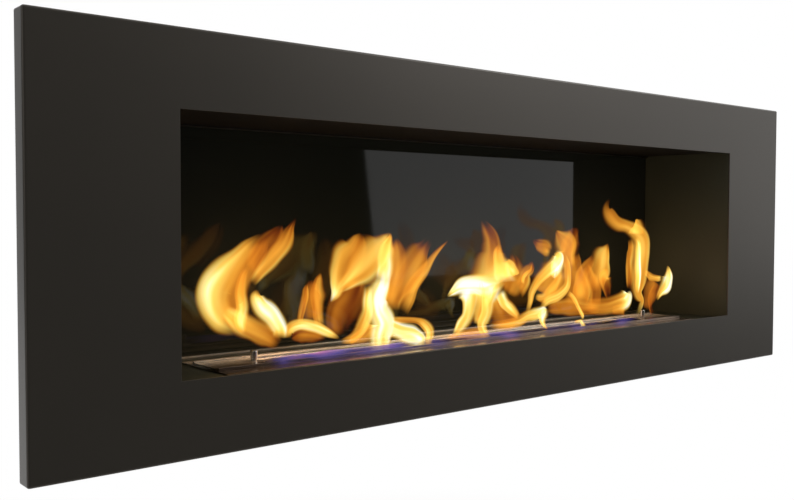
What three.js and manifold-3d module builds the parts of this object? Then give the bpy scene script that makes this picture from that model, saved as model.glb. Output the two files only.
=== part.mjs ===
// Recessed bioethanol fireplace: a black steel surround, a double-walled firebox behind it
// and a lift-out stainless ribbon burner with two sliding flame dampers.
// Millimetres, +Z up: X runs along the front and Y into the wall.
// Every place is measured from the surround's front face (Y = 0) and from the surround's
// centre (X = 0, Z = 0). The assembly is then moved so that the origin is the point of the
// case's rear face straight behind that centre.
import * as THREE from "three";
import { mergeVertices } from "three/addons/utils/BufferGeometryUtils.js";
import Module from "manifold-3d";

const wasm = await Module();
wasm.setup();

// ---------------------------------------------------------------- driving sizes

// Gaps
const seatGap = 0.3; // between pieces that touch, are welded or are glued
const runGap = 0.3; // between a damper and the rails and plate that guide it
const holeGap = 0.3; // around the shank of each stud, screw and rivet

// Surround
const frameWidth = 1200;
const frameHeight = 400;
const frameSheet = 2;
const frameReturn = 20; // from the front face to the rear edge of the folded rim
const sideMargin = 140; // front face left and right of the opening
const topMargin = 75;
const bottomMargin = 75;

// Firebox liner
const fireboxDepth = 154.2; // from the front face to the glass
const ceilingStep = 2.5; // ceiling above the opening's top edge
const hearthStep = 4.8; // hearth floor below the opening's bottom edge
const linerSheet = 1.5;
const linerFlange = 12; // width of the liner's turned-out edges, over the sheet

// Glass back panel
const glassThickness = 4;
const glassLap = 8; // how far the glass reaches behind each side liner
const stripDepth = 5;
const stripHeight = 2;
const padThickness = 9.7;
const padSide = 40;
const padInset = 60; // from the glass's edges to the middle of a pad

// Outer case
const caseSheet = 1.5;
const sideFlange = 70; // front flanges that the surround is bolted to
const topFlange = 30;
const backFlange = 15; // edge of the case back that laps the case
const wallHoleRadius = 4; // holes for the screws into the niche
const wallHoleX = 300;
const wallHoleZ = 60;

// Fasteners
const studRadius = 2.5;
const studLength = 12; // behind the surround's sheet
const sideStudInset = 35; // from the ends of a side flange
const topStudX = 230;
const nutAcrossFlats = 8;
const nutHeight = 4;
const tapScrewRadius = 1.5;
const tapScrewLength = 8;
const tapScrewHeadRadius = 3;
const tapScrewHeadHeight = 2.2;
const tapScrewY = 8; // in front of the case back's rear face
const backScrewInset = 60; // from the case's corners
const topScrewCount = 3;
const rivetRadius = 1.6;
const rivetHeadRadius = 3.2;
const rivetHeadHeight = 1.2;
const rivetInset = 35; // from the liner's front and rear edges

// Burner insert
const plateEndGap = 60; // from the plate's ends to the side liners
const plateWidth = 100;
const plateSheet = 1.5;
const plateFront = 22; // from the front face to the plate's front edge
const tankEndInset = 15; // from the plate's ends to the tank
const tankEdgeInset = 8; // from the plate's long edges to the tank
const tankDepth = 40;
const tankSheet = 1.5;
const cutoutGap = 3; // around the tank, in the hearth floor
const underTank = 5; // air between the tank and the case
const woolSideGap = 0.5;
const woolTopGap = 3.7; // below the tank's rim
const woolCrown = 3; // how much lower the wool lies along its edges

// Dampers
const slotWidth = 42;
const damperLength = 64;
const damperSheet = 1.5;
const damperBearing = 5; // how far a damper lies on the plate beside the slot
const damperPark = 2; // from the plate's end to the parked damper
const railRiser = 2;
const railLip = 1.2;
const railLap = 2; // how far the rail's lip covers the damper
const railEndGap = 2;
const knobInset = 7; // from the damper's inner edge to the knob's axis
const knobRadius = 4;
const knobFootRadius = 3.3;
const knobHeight = 11;
const knobFootHeight = 1.4;
const knobChamfer = 0.6;
const knobScrewRadius = 2;
const knobScrewDepth = 7; // inside the knob
const knobScrewHeadRadius = 3.5;
const knobScrewHeadHeight = 2;
const stopGap = 0.3; // parked knob screw to the slot's end, which stops it

// Roundness
const screwSides = 12;
const knobSides = 24;
const woolSteps = 8; // across the wool's crown

// ---------------------------------------------------------------- derived places

const frameHalf = frameWidth / 2;
const frameTop = frameHeight / 2;
const openHalf = frameHalf - sideMargin;
const openTop = frameTop - topMargin;
const openBottom = bottomMargin - frameTop;

const linerFront = frameSheet + seatGap;
const linerRear = fireboxDepth - seatGap;
const linerOuter = openHalf + linerFlange;
const ceilingZ = openTop + ceilingStep;
const hearthZ = openBottom - hearthStep;

const glassRear = fireboxDepth + glassThickness;
const backInner = glassRear + seatGap + padThickness + seatGap;
const overallDepth = backInner + caseSheet;

const plateBottom = hearthZ + seatGap;
const plateTop = plateBottom + plateSheet;
const burnerY = plateFront + plateWidth / 2;
const plateHalf = openHalf - plateEndGap;
const tankHalf = plateHalf - tankEndInset;
const tankHalfWidth = plateWidth / 2 - tankEdgeInset;
const tankTop = plateBottom - seatGap;
const tankBottom = tankTop - tankDepth;

const caseInner = linerOuter + seatGap;
const caseOuter = caseInner + caseSheet;
const caseTopInner = ceilingZ + linerFlange + seatGap;
const caseTopOuter = caseTopInner + caseSheet;
const caseFloor = tankBottom - underTank;
const caseUnderside = caseFloor - caseSheet;
const caseRear = backInner - seatGap;
const flangeRear = linerFront + caseSheet;

const sideBottom = caseFloor + seatGap;
const sideTop = caseTopInner - seatGap;
const studX = caseOuter + sideFlange / 2;
const studZ = [sideTop - sideStudInset, (sideTop + sideBottom) / 2, sideBottom + sideStudInset];
const topStudZ = caseTopOuter + topFlange / 2;

const damperOuter = plateHalf - damperPark;
const damperInner = damperOuter - damperLength;
const damperBottom = plateTop + runGap;
const damperTop = damperBottom + damperSheet;
const damperHalfWidth = slotWidth / 2 + damperBearing;
const knobX = damperInner + knobInset;
const knobBottom = damperTop + seatGap;
const slotHalf = knobX + knobScrewHeadRadius + stopGap;

// ---------------------------------------------------------------- shape helpers

// A closed geometry as a solid: shared corners merged, faces without area dropped.
function solidOf(geometry) {
  geometry.deleteAttribute("normal");
  geometry.deleteAttribute("uv");
  const merged = mergeVertices(geometry, 1e-5);
  const corners = Array.from(merged.index.array);
  const faces = [];
  for (let i = 0; i < corners.length; i += 3) {
    const [a, b, c] = corners.slice(i, i + 3);
    if (a !== b && b !== c && c !== a) {
      faces.push(a, b, c);
    }
  }
  return new wasm.Manifold(new wasm.Mesh({
    numProp: 3,
    vertProperties: Float32Array.from(merged.attributes.position.array),
    triVerts: Uint32Array.from(faces),
  }));
}

// A block between two limits along each axis.
function block([x0, x1], [y0, y1], [z0, z1]) {
  const geometry = new THREE.BoxGeometry(x1 - x0, y1 - y0, z1 - z0);
  geometry.translate((x0 + x1) / 2, (y0 + y1) / 2, (z0 + z1) / 2);
  return solidOf(geometry);
}

// A round or many-sided bar along axis "x", "y" or "z", from one end to the other.
// The centre gives the two other coordinates, in X, Y, Z order.
function bar(axis, centre, radius, from, to, sides = screwSides) {
  const length = Math.abs(to - from);
  const middle = (from + to) / 2;
  const geometry = new THREE.CylinderGeometry(radius, radius, length, sides);
  if (axis === "x") {
    geometry.rotateZ(Math.PI / 2);
    geometry.translate(middle, centre[0], centre[1]);
  } else if (axis === "y") {
    geometry.translate(centre[0], middle, centre[1]);
  } else {
    geometry.rotateX(Math.PI / 2);
    geometry.translate(centre[0], centre[1], middle);
  }
  return solidOf(geometry);
}

// A piece that is the same along X: a closed outline in Y and Z between two ends.
function profileAlongX(points, x0, x1) {
  const outline = new THREE.Shape(points.map(([y, z]) => new THREE.Vector2(y, z)));
  const geometry = new THREE.ExtrudeGeometry(outline, { depth: x1 - x0, bevelEnabled: false });
  const turn = new THREE.Matrix4().set(0, 0, 1, x0, 1, 0, 0, 0, 0, 1, 0, 0, 0, 0, 0, 1);
  geometry.applyMatrix4(turn);
  return solidOf(geometry);
}

// A piece turned about a vertical axis; the outline runs from the axis back to the axis.
function turned(points, x, y) {
  const outline = points.map(([r, z]) => new THREE.Vector2(r, z));
  const geometry = new THREE.LatheGeometry(outline, knobSides);
  geometry.rotateX(Math.PI / 2);
  geometry.translate(x, y, 0);
  return solidOf(geometry);
}

// The same solid on the other side of the middle plane X = 0.
function mirrored(solid) {
  return solid.mirror([1, 0, 0]);
}

function cut(solid, tools) {
  return tools.reduce((rest, tool) => rest.subtract(tool), solid);
}

function joined(solids) {
  return solids.reduce((sum, solid) => sum.add(solid));
}

// ---------------------------------------------------------------- materials

const satinBlack = { color: 0x2c2b29, roughness: 0.42, metalness: 0.35 };
const linerBlack = { color: 0x24221f, roughness: 0.5, metalness: 0.3 };
const galvanised = { color: 0x9a9d9f, roughness: 0.45, metalness: 0.9 };
const zincPlated = { color: 0xb4b6b4, roughness: 0.35, metalness: 0.95 };
const blackGlass = { color: 0x0a0a0b, roughness: 0.05, metalness: 0 };
const polishedSteel = { color: 0xc9c6c0, roughness: 0.16, metalness: 1 };
const brushedSteel = { color: 0xb5b2ad, roughness: 0.3, metalness: 1 };
const ceramicFibre = { color: 0xe9e5dc, roughness: 0.95, metalness: 0 };

const fireplace = new THREE.Group();
fireplace.position.y = -overallDepth;

// Adds one closed solid as a named mesh with a material of its own.
function piece(name, solid, finish) {
  const { vertProperties, triVerts } = solid.getMesh();
  const geometry = new THREE.BufferGeometry();
  geometry.setAttribute("position", new THREE.BufferAttribute(vertProperties, 3));
  geometry.setIndex(new THREE.BufferAttribute(triVerts, 1));
  const material = new THREE.MeshStandardMaterial({ ...finish, flatShading: true });
  const mesh = new THREE.Mesh(geometry, material);
  mesh.name = name;
  fireplace.add(mesh);
}

// ---------------------------------------------------------------- surround

// Places of the weld studs as [x, z], the left ones first and the two upper ones last.
const studPlaces = [
  ...studZ.map((z) => [-studX, z]),
  ...studZ.map((z) => [studX, z]),
  [-topStudX, topStudZ],
  [topStudX, topStudZ],
];

// One folded sheet: the face with its opening, the rim turned back and the weld studs.
function addSurround() {
  const outside = block([-frameHalf, frameHalf], [0, frameReturn], [-frameTop, frameTop]);
  const innerHalf = frameHalf - frameSheet;
  const innerTop = frameTop - frameSheet;
  const tray = block([-innerHalf, innerHalf], [frameSheet, 2 * frameReturn], [-innerTop, innerTop]);
  const opening = block([-openHalf, openHalf], [-frameSheet, frameReturn], [openBottom, openTop]);
  const studs = studPlaces.map((place) => (
    bar("y", place, studRadius, frameSheet / 2, frameSheet + studLength)
  ));
  piece("front_frame", joined([cut(outside, [tray, opening]), ...studs]), satinBlack);
}

// Hexagon nuts that clamp the case's front flanges to the surround.
function addNuts() {
  const cornerRadius = nutAcrossFlats / 2 / Math.cos(Math.PI / 6);
  const seat = flangeRear + seatGap;
  studPlaces.forEach((place, index) => {
    const body = bar("y", place, cornerRadius, seat, seat + nutHeight, 6);
    const bore = bar("y", place, studRadius + holeGap, seat - nutHeight, seat + 2 * nutHeight);
    piece(`frame_nut_${index + 1}`, body.subtract(bore), zincPlated);
  });
}

// ---------------------------------------------------------------- outer case

const tapScrewLine = overallDepth - tapScrewY;
const sideScrewZ = [sideTop - backScrewInset, sideBottom + backScrewInset];
const topScrewSpan = 2 * (caseOuter - backScrewInset);
const topScrewX = Array.from({ length: topScrewCount }, (_, index) => (
  topScrewSpan * (index / (topScrewCount - 1) - 0.5)
));

// Clearance holes for the screws that hold the case back, through both lapped sheets.
function sideScrewHoles() {
  const radius = tapScrewRadius + holeGap;
  const outside = caseOuter + backFlange;
  return sideScrewZ.map((z) => bar("x", [tapScrewLine, z], radius, linerOuter, outside));
}

function topScrewHoles() {
  const radius = tapScrewRadius + holeGap;
  const outside = caseTopOuter + backFlange;
  return topScrewX.map((x) => bar("z", [x, tapScrewLine], radius, ceilingZ + linerFlange, outside));
}

function studHoles() {
  const radius = studRadius + holeGap;
  return studPlaces.map((place) => bar("y", place, radius, frameSheet, flangeRear + studLength));
}

// Two side walls, each with a flange turned out at the front.
function addCaseSides() {
  const wall = block([caseInner, caseOuter], [linerFront, caseRear], [sideBottom, sideTop]);
  const flange = block([caseInner, caseOuter + sideFlange], [linerFront, flangeRear], [sideBottom, sideTop]);
  const right = cut(wall.add(flange), [...studHoles(), ...sideScrewHoles()]);
  const left = cut(mirrored(wall.add(flange)), [...studHoles(), ...sideScrewHoles().map(mirrored)]);
  piece("case_right", right, galvanised);
  piece("case_left", left, galvanised);
}

// The top wall has a flange turned up at the front; the bottom wall is a plain sheet.
function addCaseTopAndBottom() {
  const width = [-caseOuter, caseOuter];
  const top = block(width, [linerFront, caseRear], [caseTopInner, caseTopOuter]);
  const flange = block(width, [linerFront, flangeRear], [caseTopInner, caseTopOuter + topFlange]);
  const bottom = block(width, [linerFront, caseRear], [caseUnderside, caseFloor]);
  piece("case_top", cut(top.add(flange), [...studHoles(), ...topScrewHoles()]), galvanised);
  piece("case_bottom", bottom, galvanised);
}

// The back is a tray that laps the sides and the top, with four holes for wall screws.
function addCaseBack() {
  const insideX = caseOuter + seatGap;
  const outsideX = insideX + caseSheet;
  const insideTop = caseTopOuter + seatGap;
  const outsideTop = insideTop + caseSheet;
  const frontEdge = overallDepth - backFlange;
  const outside = block([-outsideX, outsideX], [frontEdge, overallDepth], [caseUnderside, outsideTop]);
  const hollow = block(
    [-insideX, insideX],
    [frontEdge - caseSheet, backInner],
    [caseUnderside - caseSheet, insideTop],
  );
  const wallHoles = [[-1, -1], [-1, 1], [1, -1], [1, 1]].map(([sx, sz]) => (
    bar("y", [sx * wallHoleX, sz * wallHoleZ], wallHoleRadius, backInner - caseSheet, 2 * overallDepth)
  ));
  const screwHoles = [...sideScrewHoles(), ...sideScrewHoles().map(mirrored), ...topScrewHoles()];
  piece("case_back", cut(outside, [hollow, ...wallHoles, ...screwHoles]), galvanised);
}

// Pan-head tapping screws through the case back's lapped edges.
function addBackScrews() {
  const headX = caseOuter + seatGap + caseSheet + seatGap;
  const headZ = caseTopOuter + seatGap + caseSheet + seatGap;
  const tapScrew = (axis, centre, seat) => {
    const head = bar(axis, centre, tapScrewHeadRadius, seat, seat + tapScrewHeadHeight);
    const shank = bar(axis, centre, tapScrewRadius, seat - tapScrewLength, seat + tapScrewHeadHeight / 2);
    return head.add(shank);
  };
  sideScrewZ.forEach((z, index) => {
    const right = tapScrew("x", [tapScrewLine, z], headX);
    piece(`back_screw_right_${index + 1}`, right, zincPlated);
    piece(`back_screw_left_${index + 1}`, mirrored(right), zincPlated);
  });
  topScrewX.forEach((x, index) => {
    piece(`back_screw_top_${index + 1}`, tapScrew("z", [x, tapScrewLine], headZ), zincPlated);
  });
}

// ---------------------------------------------------------------- firebox liner

const rivetX = openHalf + (linerSheet + linerFlange) / 2;
const rivetY = [linerFront + rivetInset, linerRear - rivetInset];
const rivetPlaces = [-1, 1].flatMap((side) => rivetY.map((y) => [side * rivetX, y]));
const linerBottom = hearthZ + seatGap;
const linerTop = ceilingZ - seatGap;

function rivetHoles() {
  const radius = rivetRadius + holeGap;
  return rivetPlaces.map((place) => bar("z", place, radius, hearthZ - linerFlange, ceilingZ + linerFlange));
}

// Side liners: pressed pans, with all four edges turned out towards the case.
function addSideLiners() {
  const outside = block([openHalf, linerOuter], [linerFront, linerRear], [linerBottom, linerTop]);
  const hollow = block(
    [openHalf + linerSheet, linerOuter + linerFlange],
    [linerFront + linerSheet, linerRear - linerSheet],
    [linerBottom + linerSheet, linerTop - linerSheet],
  );
  const pan = outside.subtract(hollow);
  piece("liner_right", cut(pan, rivetHoles()), linerBlack);
  piece("liner_left", cut(mirrored(pan), rivetHoles()), linerBlack);
}

// The ceiling is a channel whose front and rear edges are turned up to the case's top.
function addCeiling() {
  const width = [-linerOuter, linerOuter];
  const outside = block(width, [linerFront, caseRear], [ceilingZ, ceilingZ + linerFlange]);
  const hollow = block(
    [-caseOuter, caseOuter],
    [linerFront + linerSheet, caseRear - linerSheet],
    [ceilingZ + linerSheet, caseTopOuter],
  );
  piece("liner_ceiling", cut(outside, [hollow, ...rivetHoles()]), linerBlack);
}

// The hearth floor stands on the case's bottom on two aprons and has the burner's cut-out.
function addHearthFloor() {
  const width = [-linerOuter, linerOuter];
  const outside = block(width, [linerFront, caseRear], [sideBottom, hearthZ]);
  const hollow = block(
    [-caseOuter, caseOuter],
    [linerFront + linerSheet, caseRear - linerSheet],
    [caseUnderside, hearthZ - linerSheet],
  );
  const cutoutX = tankHalf + cutoutGap;
  const cutoutY = tankHalfWidth + cutoutGap;
  const cutout = block([-cutoutX, cutoutX], [burnerY - cutoutY, burnerY + cutoutY], [caseFloor, openBottom]);
  piece("hearth_floor", cut(outside, [hollow, cutout, ...rivetHoles()]), linerBlack);
}

// Rivets through the lapped edges of the side liners, above the ceiling and under the floor.
function addRivets() {
  const rivet = (place, from, to) => {
    const shank = bar("z", place, rivetRadius, from - rivetHeadHeight / 2, to + rivetHeadHeight / 2);
    const lowHead = bar("z", place, rivetHeadRadius, from - rivetHeadHeight, from);
    const highHead = bar("z", place, rivetHeadRadius, to, to + rivetHeadHeight);
    return joined([shank, lowHead, highHead]);
  };
  const grip = seatGap + linerSheet + seatGap;
  rivetPlaces.forEach((place, index) => {
    const top = rivet(place, linerTop - linerSheet - seatGap, linerTop + grip);
    const bottom = rivet(place, hearthZ - linerSheet - seatGap, hearthZ + grip);
    piece(`liner_rivet_top_${index + 1}`, top, zincPlated);
    piece(`liner_rivet_bottom_${index + 1}`, bottom, zincPlated);
  });
}

// ---------------------------------------------------------------- glass back panel

// Black glass between floor and ceiling, its strips in front and its fibre pads behind.
function addGlass() {
  const glassHalf = openHalf + glassLap;
  piece(
    "back_glass",
    block([-glassHalf, glassHalf], [fireboxDepth, glassRear], [linerBottom, linerTop]),
    blackGlass,
  );
  const stripHalf = openHalf - seatGap;
  const stripY = [linerRear - stripDepth, linerRear];
  const strip = (z) => block([-stripHalf, stripHalf], stripY, [z, z + stripHeight]);
  piece("glass_strip_bottom", strip(linerBottom), brushedSteel);
  piece("glass_strip_top", strip(linerTop - stripHeight), linerBlack);
  const padX = glassHalf - padInset;
  const padZ = [linerBottom + padInset, linerTop - padInset];
  const padFront = glassRear + seatGap;
  let count = 0;
  for (const x of [-padX, padX]) {
    for (const z of padZ) {
      count += 1;
      const half = padSide / 2;
      const pad = block([x - half, x + half], [padFront, padFront + padThickness], [z - half, z + half]);
      piece(`glass_pad_${count}`, pad, ceramicFibre);
    }
  }
}

// ---------------------------------------------------------------- burner insert

// The plate carries the insert on the hearth floor; the flames come up through its slot.
function addBurnerPlate() {
  const plateY = [plateFront, plateFront + plateWidth];
  const slotY = [burnerY - slotWidth / 2, burnerY + slotWidth / 2];
  const plate = block([-plateHalf, plateHalf], plateY, [plateBottom, plateTop]);
  const slot = block([-slotHalf, slotHalf], slotY, [tankBottom, openTop]);
  piece("burner_top_plate", plate.subtract(slot), polishedSteel);
}

// The fuel tank is an open steel box welded under the plate.
function addTank() {
  const tankY = [burnerY - tankHalfWidth, burnerY + tankHalfWidth];
  const outside = block([-tankHalf, tankHalf], tankY, [tankBottom, tankTop]);
  const hollow = block(
    [tankSheet - tankHalf, tankHalf - tankSheet],
    [tankY[0] + tankSheet, tankY[1] - tankSheet],
    [tankBottom + tankSheet, openTop],
  );
  piece("burner_tank", outside.subtract(hollow), brushedSteel);
}

// A mat of ceramic wool fills the tank and holds the fuel; its top is gently crowned.
function addWool() {
  const halfWidth = tankHalfWidth - tankSheet - woolSideGap;
  const halfLength = tankHalf - tankSheet - woolSideGap;
  const low = tankBottom + tankSheet + seatGap;
  const high = tankTop - woolTopGap;
  const crown = Array.from({ length: woolSteps + 1 }, (_, index) => {
    const across = 1 - (2 * index) / woolSteps;
    return [burnerY + across * halfWidth, high - woolCrown * across ** 4];
  });
  const outline = [[burnerY - halfWidth, low], [burnerY + halfWidth, low], ...crown];
  piece("ceramic_wool", profileAlongX(outline, -halfLength, halfLength), ceramicFibre);
}

// Two rails on the plate hold the dampers down and guide them along the slot.
function addRails() {
  const innerFace = damperHalfWidth + runGap;
  const outerFace = innerFace + railRiser;
  const lipEdge = damperHalfWidth - railLap;
  const foot = plateTop + seatGap;
  const lipBottom = damperTop + runGap;
  const lipTop = lipBottom + railLip;
  const halfLength = plateHalf - railEndGap;
  const section = [
    [innerFace, foot],
    [outerFace, foot],
    [outerFace, lipTop],
    [lipEdge, lipTop],
    [lipEdge, lipBottom],
    [innerFace, lipBottom],
  ];
  const rear = section.map(([y, z]) => [burnerY + y, z]);
  const front = section.map(([y, z]) => [burnerY - y, z]).reverse();
  piece("guide_rail_rear", profileAlongX(rear, -halfLength, halfLength), brushedSteel);
  piece("guide_rail_front", profileAlongX(front, -halfLength, halfLength), brushedSteel);
}

// ---------------------------------------------------------------- dampers

// A damper with its turned knob, held by a screw from below, for the right-hand end.
function damperSolids() {
  const place = [knobX, burnerY];
  const sheet = block(
    [damperInner, damperOuter],
    [burnerY - damperHalfWidth, burnerY + damperHalfWidth],
    [damperBottom, damperTop],
  );
  const hole = bar("z", place, knobScrewRadius + holeGap, tankTop, openTop);
  const knobTop = knobBottom + knobHeight;
  const outline = [
    [0, knobBottom],
    [knobFootRadius, knobBottom],
    [knobFootRadius, knobBottom + knobFootHeight],
    [knobRadius, knobBottom + 2 * knobFootHeight],
    [knobRadius, knobTop - knobChamfer],
    [knobRadius - knobChamfer, knobTop],
    [0, knobTop],
  ];
  const threadEnd = knobBottom + knobScrewDepth;
  const bore = bar("z", place, knobScrewRadius + holeGap, tankTop, threadEnd + holeGap);
  const headTop = damperBottom - seatGap;
  const shank = bar("z", place, knobScrewRadius, headTop - knobScrewHeadHeight / 2, threadEnd);
  const head = bar("z", place, knobScrewHeadRadius, headTop - knobScrewHeadHeight, headTop);
  return {
    damper: sheet.subtract(hole),
    damper_knob: turned(outline, ...place).subtract(bore),
    damper_screw: shank.add(head),
  };
}

function addDampers() {
  const finishes = { damper: polishedSteel, damper_knob: polishedSteel, damper_screw: zincPlated };
  for (const [name, solid] of Object.entries(damperSolids())) {
    piece(`${name}_right`, solid, finishes[name]);
    piece(`${name}_left`, mirrored(solid), finishes[name]);
  }
}

addSurround();
addNuts();
addCaseSides();
addCaseTopAndBottom();
addCaseBack();
addBackScrews();
addSideLiners();
addCeiling();
addHearthFloor();
addRivets();
addGlass();
addBurnerPlate();
addTank();
addWool();
addRails();
addDampers();

export default fireplace;
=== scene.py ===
"""Bioethanol fireplace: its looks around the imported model, in metres, in the row frame."""

import math

import bmesh
import bpy
from mathutils import Matrix, Vector, noise


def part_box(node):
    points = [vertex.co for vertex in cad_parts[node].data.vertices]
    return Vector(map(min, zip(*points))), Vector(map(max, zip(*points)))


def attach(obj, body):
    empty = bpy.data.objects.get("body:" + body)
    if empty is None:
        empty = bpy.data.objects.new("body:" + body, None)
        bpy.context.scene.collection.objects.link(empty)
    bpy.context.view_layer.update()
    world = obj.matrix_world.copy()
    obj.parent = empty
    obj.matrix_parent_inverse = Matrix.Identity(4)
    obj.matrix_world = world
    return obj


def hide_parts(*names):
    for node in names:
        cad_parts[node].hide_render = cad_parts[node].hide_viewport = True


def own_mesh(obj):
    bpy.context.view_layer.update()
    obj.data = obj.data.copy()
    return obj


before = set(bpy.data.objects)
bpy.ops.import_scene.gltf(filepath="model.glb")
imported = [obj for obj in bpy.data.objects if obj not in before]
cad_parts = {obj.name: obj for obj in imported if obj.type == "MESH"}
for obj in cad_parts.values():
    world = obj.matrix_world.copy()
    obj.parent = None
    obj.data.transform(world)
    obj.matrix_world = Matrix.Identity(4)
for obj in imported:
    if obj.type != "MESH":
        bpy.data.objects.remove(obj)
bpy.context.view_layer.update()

# ---- Studio: camera, light and floor ----
# The product photograph was taken from the left, just above the middle, against plain white. Soft lamps
# stand high on the right, on the left and behind, and the black front mirrors dark cloths round the set.


def colour(hex_code):
    """An sRGB hex colour as linear red, green and blue, with full alpha."""
    parts = [int(hex_code[i:i + 2], 16) / 255 for i in (0, 2, 4)]
    linear = [c / 12.92 if c <= 0.04045 else ((c + 0.055) / 1.055) ** 2.4 for c in parts]
    return (*linear, 1.0)


def add_node(tree, kind, inputs=(), stops=(), **settings):
    """Adds a node. inputs maps a socket's name or number to a value, a hex colour or what feeds it.

    That is another socket, or a node, which feeds it from the first output that it uses.
    """
    made = tree.nodes.new("ShaderNode" + kind)
    for name, value in settings.items():
        setattr(made, name, value)
    for name, value in dict(inputs).items():
        if isinstance(value, str):
            value = colour(value)
        if isinstance(value, bpy.types.Node):
            value = next(socket for socket in value.outputs if socket.enabled)
        if isinstance(value, bpy.types.NodeSocket):
            tree.links.new(value, made.inputs[name])
        else:
            made.inputs[name].default_value = value
    for i, (place, shade) in enumerate(stops):
        stop = made.color_ramp.elements[i] if i < 2 else made.color_ramp.elements.new(place)
        stop.position = place
        stop.color = colour(shade)
    return made


def new_material(name):
    """A material with an empty node tree, and that tree."""
    made = bpy.data.materials.new(name)
    made.use_nodes = True
    made.node_tree.nodes.clear()
    return made, made.node_tree


def surface(tree, kind, inputs):
    """Adds the shader that the eye meets, and the output that it feeds."""
    add_node(tree, "OutputMaterial", {"Surface": add_node(tree, kind, inputs)})


SMOOTH_UP_TO = math.radians(35)


def new_piece(name, bm, material):
    """An object at the origin with bm's mesh, smooth but for its sharp edges."""
    mesh = bpy.data.meshes.new(name)
    bm.to_mesh(mesh)
    bm.free()
    mesh.shade_smooth()
    mesh.set_sharp_from_angle(angle=SMOOTH_UP_TO)
    mesh.materials.append(material)
    made = bpy.data.objects.new(name, mesh)
    scene.collection.objects.link(made)
    flats = made.modifiers.new("flat_faces_stay_flat", "WEIGHTED_NORMAL")
    flats.keep_sharp = True
    return made


# The flames are many clear sheets, one behind the other, so a ray has to pass through a lot of them.
scene = bpy.context.scene
scene.view_settings.view_transform = "Standard"
scene.cycles.transparent_max_bounces = 32

# The camera's place and turn were solved from the corners of the surround and of its opening.
camera_data = bpy.data.cameras.new("photo_camera")
camera_data.lens = 42.28
camera_data.sensor_width = 36
camera = bpy.data.objects.new("photo_camera", camera_data)
scene.collection.objects.link(camera)
scene.camera = camera
camera_place = Vector((-0.8508, -0.9546, 0.0279))
camera_right = Vector((0.77145, -0.63624, 0.0021)).normalized()
camera_up = Vector((0.0217, 0.0296, 0.9993)).normalized()
camera_back = camera_right.cross(camera_up)
turned_to = Matrix((camera_right, camera_back.cross(camera_right), camera_back)).transposed()
camera.matrix_world = Matrix.Translation(camera_place) @ turned_to.to_4x4()


def white_rays(tree):
    """1 for the rays that find the set white: the camera's own, mirrored and refracted ones."""
    rays = add_node(tree, "LightPath")
    found = rays.outputs["Is Camera Ray"]
    for kind in ("Is Glossy Ray", "Is Transmission Ray"):
        found = add_node(tree, "Math", {0: found, 1: rays.outputs[kind]}, operation="MAXIMUM")
    return found


# A plain white room: it looks fully white, and lights the fireplace a little over half as brightly.
ROOM_LIGHT = 0.55
world = bpy.data.worlds.new("white_studio")
scene.world = world
world.use_nodes = True
world.node_tree.nodes.clear()
tree = world.node_tree
lit = add_node(tree, "Background", {"Color": "ffffff", "Strength": ROOM_LIGHT})
white = add_node(tree, "Background", {"Color": "ffffff", "Strength": 1.0})
sky = add_node(tree, "MixShader", {0: white_rays(tree), 1: lit, 2: white})
add_node(tree, "OutputWorld", {"Surface": sky})


def lamp(name, kind, watts, **settings):
    """A lamp at the origin, with its settings."""
    data = bpy.data.lights.new(name, kind)
    data.energy = watts
    for setting, value in settings.items():
        setattr(data, setting, value)
    made = bpy.data.objects.new(name, data)
    scene.collection.objects.link(made)
    return made


for name, place, aim, width, height, watts in (
        ("softbox_right", (2.6, -2.2, 1.9), (0.1, -0.1, 0), 1.8, 1.4, 45),
        ("softbox_left", (-2.8, 0.4, 1.2), (-0.2, -0.1, 0), 1.6, 1.6, 7),
        ("softbox_behind", (0.6, 2.8, 1.8), (0, 0, 0), 2.0, 1.4, 45)):
    softbox = lamp(name, "AREA", watts, shape="RECTANGLE", size=width, size_y=height)
    aimed = (Vector(aim) - Vector(place)).to_track_quat("-Z", "Y").to_matrix().to_4x4()
    softbox.matrix_world = Matrix.Translation(place) @ aimed


def clouded(tree, place, scale, detail, dark, pale):
    """Soft clouds, scale of them per metre, and the tone between dark and pale that they give."""
    cloud = add_node(tree, "TexNoise", {"Vector": place, "Scale": scale, "Detail": detail})
    return cloud, add_node(tree, "Mix", {"Factor": cloud, "A": dark, "B": pale},
                           data_type="RGBA")


SOFTLY = {"interpolation_type": "SMOOTHSTEP"}

# Pale painted floor, well below the fireplace, which hangs at wall height. Far from it the floor is as
# white as the room, and near it the floor keeps its own clouded colour and the fireplace's soft shadow.
FLOOR_HEIGHT, FLOOR_HALF_WIDTH = -0.75, 9.0
SHADED_WITHIN, WHITE_BEYOND = 0.85, 1.6
floor_paint, tree = new_material("pale_floor_paint")
place = add_node(tree, "TexCoord").outputs["Object"]
ring = add_node(tree, "VectorMath", {0: place}, operation="LENGTH")
far = add_node(tree, "MapRange", {
    "Value": ring, "From Min": SHADED_WITHIN, "From Max": WHITE_BEYOND}, **SOFTLY)
whitened = add_node(tree, "Math", {0: white_rays(tree), 1: far}, operation="MULTIPLY")
_, tone = clouded(tree, place, 6.0, 4.0, "e6e5e2", "efeeec")
paint = add_node(tree, "BsdfDiffuse", {"Color": tone})
glow = add_node(tree, "Emission", {"Color": "ffffff", "Strength": 1.0})
surface(tree, "MixShader", {0: whitened, 1: paint, 2: glow})
bm = bmesh.new()
bmesh.ops.create_grid(bm, x_segments=1, y_segments=1, size=FLOOR_HALF_WIDTH)
bmesh.ops.translate(bm, verts=bm.verts, vec=(0, 0, FLOOR_HEIGHT))
new_piece("studio_floor", bm, floor_paint)

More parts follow.
